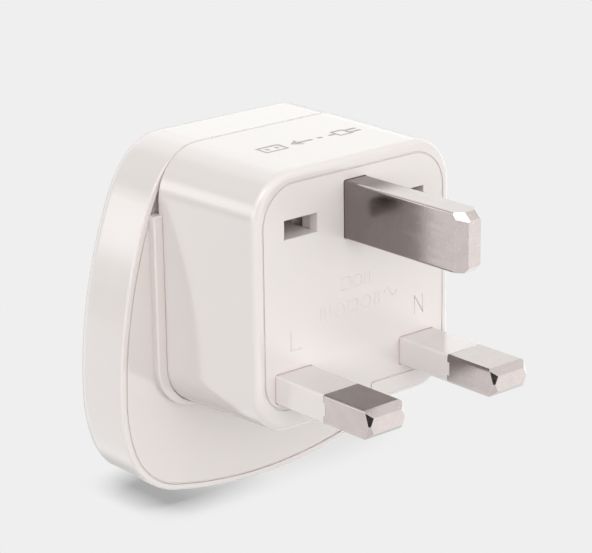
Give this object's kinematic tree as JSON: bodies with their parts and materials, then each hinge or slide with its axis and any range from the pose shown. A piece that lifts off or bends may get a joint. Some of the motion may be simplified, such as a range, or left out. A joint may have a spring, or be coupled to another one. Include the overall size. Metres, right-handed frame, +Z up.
{
  "type": "universal travel adapter",
  "caption": "Mains travel adapter: three-pin British plug block on a shield-shaped case with a shuttered universal socket in its back.",
  "frame": {"origin": "on the plug's front plate, midway between the centres of the line and neutral pins", "axes": "+X to the right seen from the pins, -Y out along the pins, +Y out of the socket, +Z up towards the earth pin"},
  "size_m": [0.0502, 0.0525, 0.0513],
  "materials": {
    "case_plastic": "gloss warm off-white",
    "sleeve_plastic": "satin off-white",
    "pin_plating": "satin nickel plate on brass",
    "contact_metal": "bare brass",
    "inner_plastic": "moulded",
    "shutter_plastic": "moulded",
    "steel": "zinc plated"
  },
  "bodies": {
    "adapter": {"plug_housing": "case_plastic", "face_plate": "case_plastic", "flange_cover": "case_plastic", "rear_case": "case_plastic", "socket_plate": "case_plastic", "earth_pin": "pin_plating", "line_pin": "pin_plating", "neutral_pin": "pin_plating", "line_pin_sleeve": "sleeve_plastic", "neutral_pin_sleeve": "sleeve_plastic", "earth_contact": "contact_metal", "line_contact": "contact_metal", "neutral_contact": "contact_metal", "contact_carrier": "inner_plastic", "contact_rivets": "contact_metal", "shutter_guide": "inner_plastic", "shutter_springs": "steel", "case_screws": "steel", "guide_screws": "steel"},
    "shutter": {"safety_shutter": "shutter_plastic"}
  },
  "joints": [
    {"name": "shutter_slide", "type": "slide", "parent": "adapter", "child": "shutter", "axis": [0, 0, -1], "range_m": [0, 0.0088], "stiffness_N_per_m": 60, "springref_m": -0.004, "deforming": ["shutter_springs"]}
  ]
}
